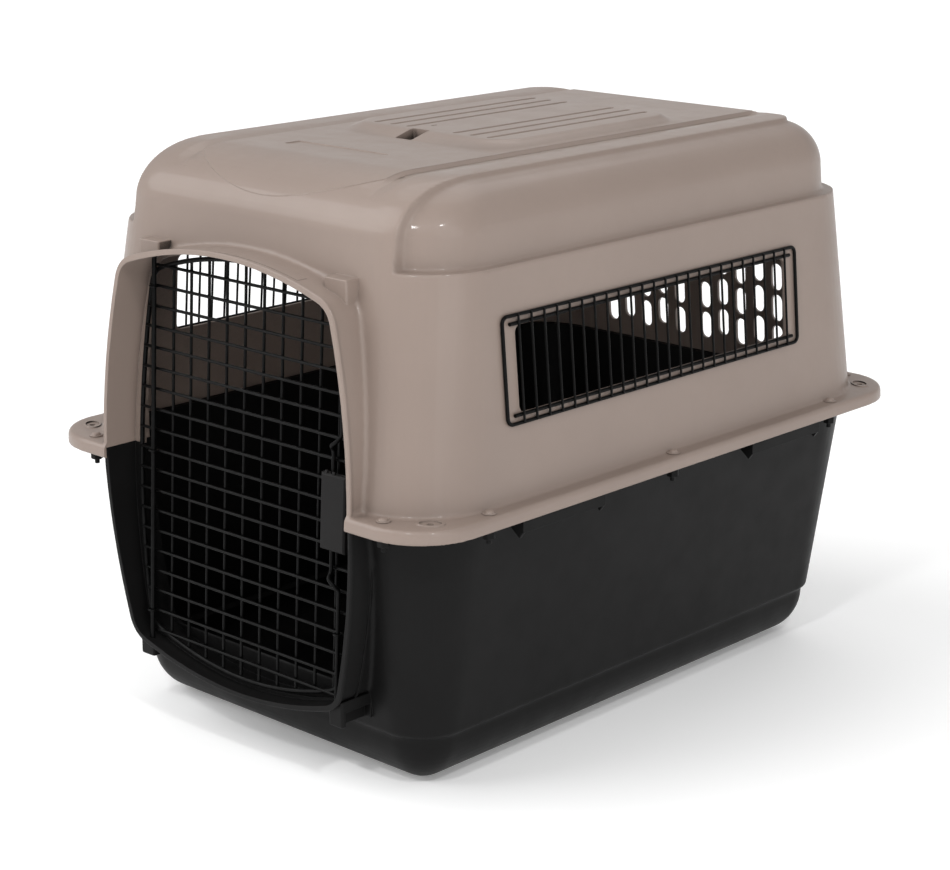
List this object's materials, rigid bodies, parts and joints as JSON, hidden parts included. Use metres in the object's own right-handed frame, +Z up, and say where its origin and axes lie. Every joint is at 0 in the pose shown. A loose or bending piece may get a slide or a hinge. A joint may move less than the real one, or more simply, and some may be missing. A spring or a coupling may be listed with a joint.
{
  "type": "pet transport carrier",
  "caption": "Two-piece moulded pet transport kennel with a hinged wire door and sprung latch rods, wire side windows, a slotted rear wall and bolted flanges.",
  "frame": {"origin": "centre of the footprint, on the floor", "axes": "+X to the viewer's right when looking at the door, +Y from the door to the rear, +Z up"},
  "size_m": [0.668, 0.928, 0.72],
  "materials": {
    "taupe_plastic": "satin moulded plastic",
    "black_plastic": "satin moulded plastic",
    "coated_wire": "smooth black coating",
    "latch_plastic": "satin moulded plastic",
    "spring_steel": "bright wire"
  },
  "bodies": {
    "shells": {"bottom_shell": "black_plastic", "top_shell": "taupe_plastic", "window_grille_right": "coated_wire", "window_grille_left": "coated_wire", "shell_bolt_front_left": "taupe_plastic", "shell_bolt_front_right": "taupe_plastic", "shell_bolt_rear_left": "taupe_plastic", "shell_bolt_rear_right": "taupe_plastic", "shell_bolt_side_front_left": "taupe_plastic", "shell_bolt_side_front_right": "taupe_plastic", "shell_bolt_side_middle_left": "taupe_plastic", "shell_bolt_side_middle_right": "taupe_plastic", "shell_bolt_side_rear_left": "taupe_plastic", "shell_bolt_side_rear_right": "taupe_plastic", "shell_nut_front_left": "black_plastic", "shell_nut_front_right": "black_plastic", "shell_nut_rear_left": "black_plastic", "shell_nut_rear_right": "black_plastic", "shell_nut_side_front_left": "black_plastic", "shell_nut_side_front_right": "black_plastic", "shell_nut_side_middle_left": "black_plastic", "shell_nut_side_middle_right": "black_plastic", "shell_nut_side_rear_left": "black_plastic", "shell_nut_side_rear_right": "black_plastic"},
    "door": {"door_wire_panel": "coated_wire", "door_hinge_rod": "coated_wire", "latch_housing": "latch_plastic", "latch_spring": "spring_steel"},
    "upper_latch": {"latch_upper_rod": "coated_wire"},
    "lower_latch": {"latch_lower_rod": "coated_wire"}
  },
  "joints": [
    {"name": "door_hinge", "type": "hinge", "parent": "shells", "child": "door", "pos_m": [-0.159, -0.42599, 0.39837], "axis": [0, -0.0523, -0.9986], "range_deg": [0, 90]},
    {"name": "upper_latch_slide", "type": "slide", "parent": "door", "child": "upper_latch", "axis": [0, 0.0523, 0.9986], "range_m": [0, 0.013], "stiffness_N_per_m": 150, "springref_m": 0.02},
    {"name": "lower_latch_slide", "type": "slide", "parent": "door", "child": "lower_latch", "axis": [0, -0.0523, -0.9986], "range_m": [0, 0.013], "stiffness_N_per_m": 150, "springref_m": 0.02}
  ]
}
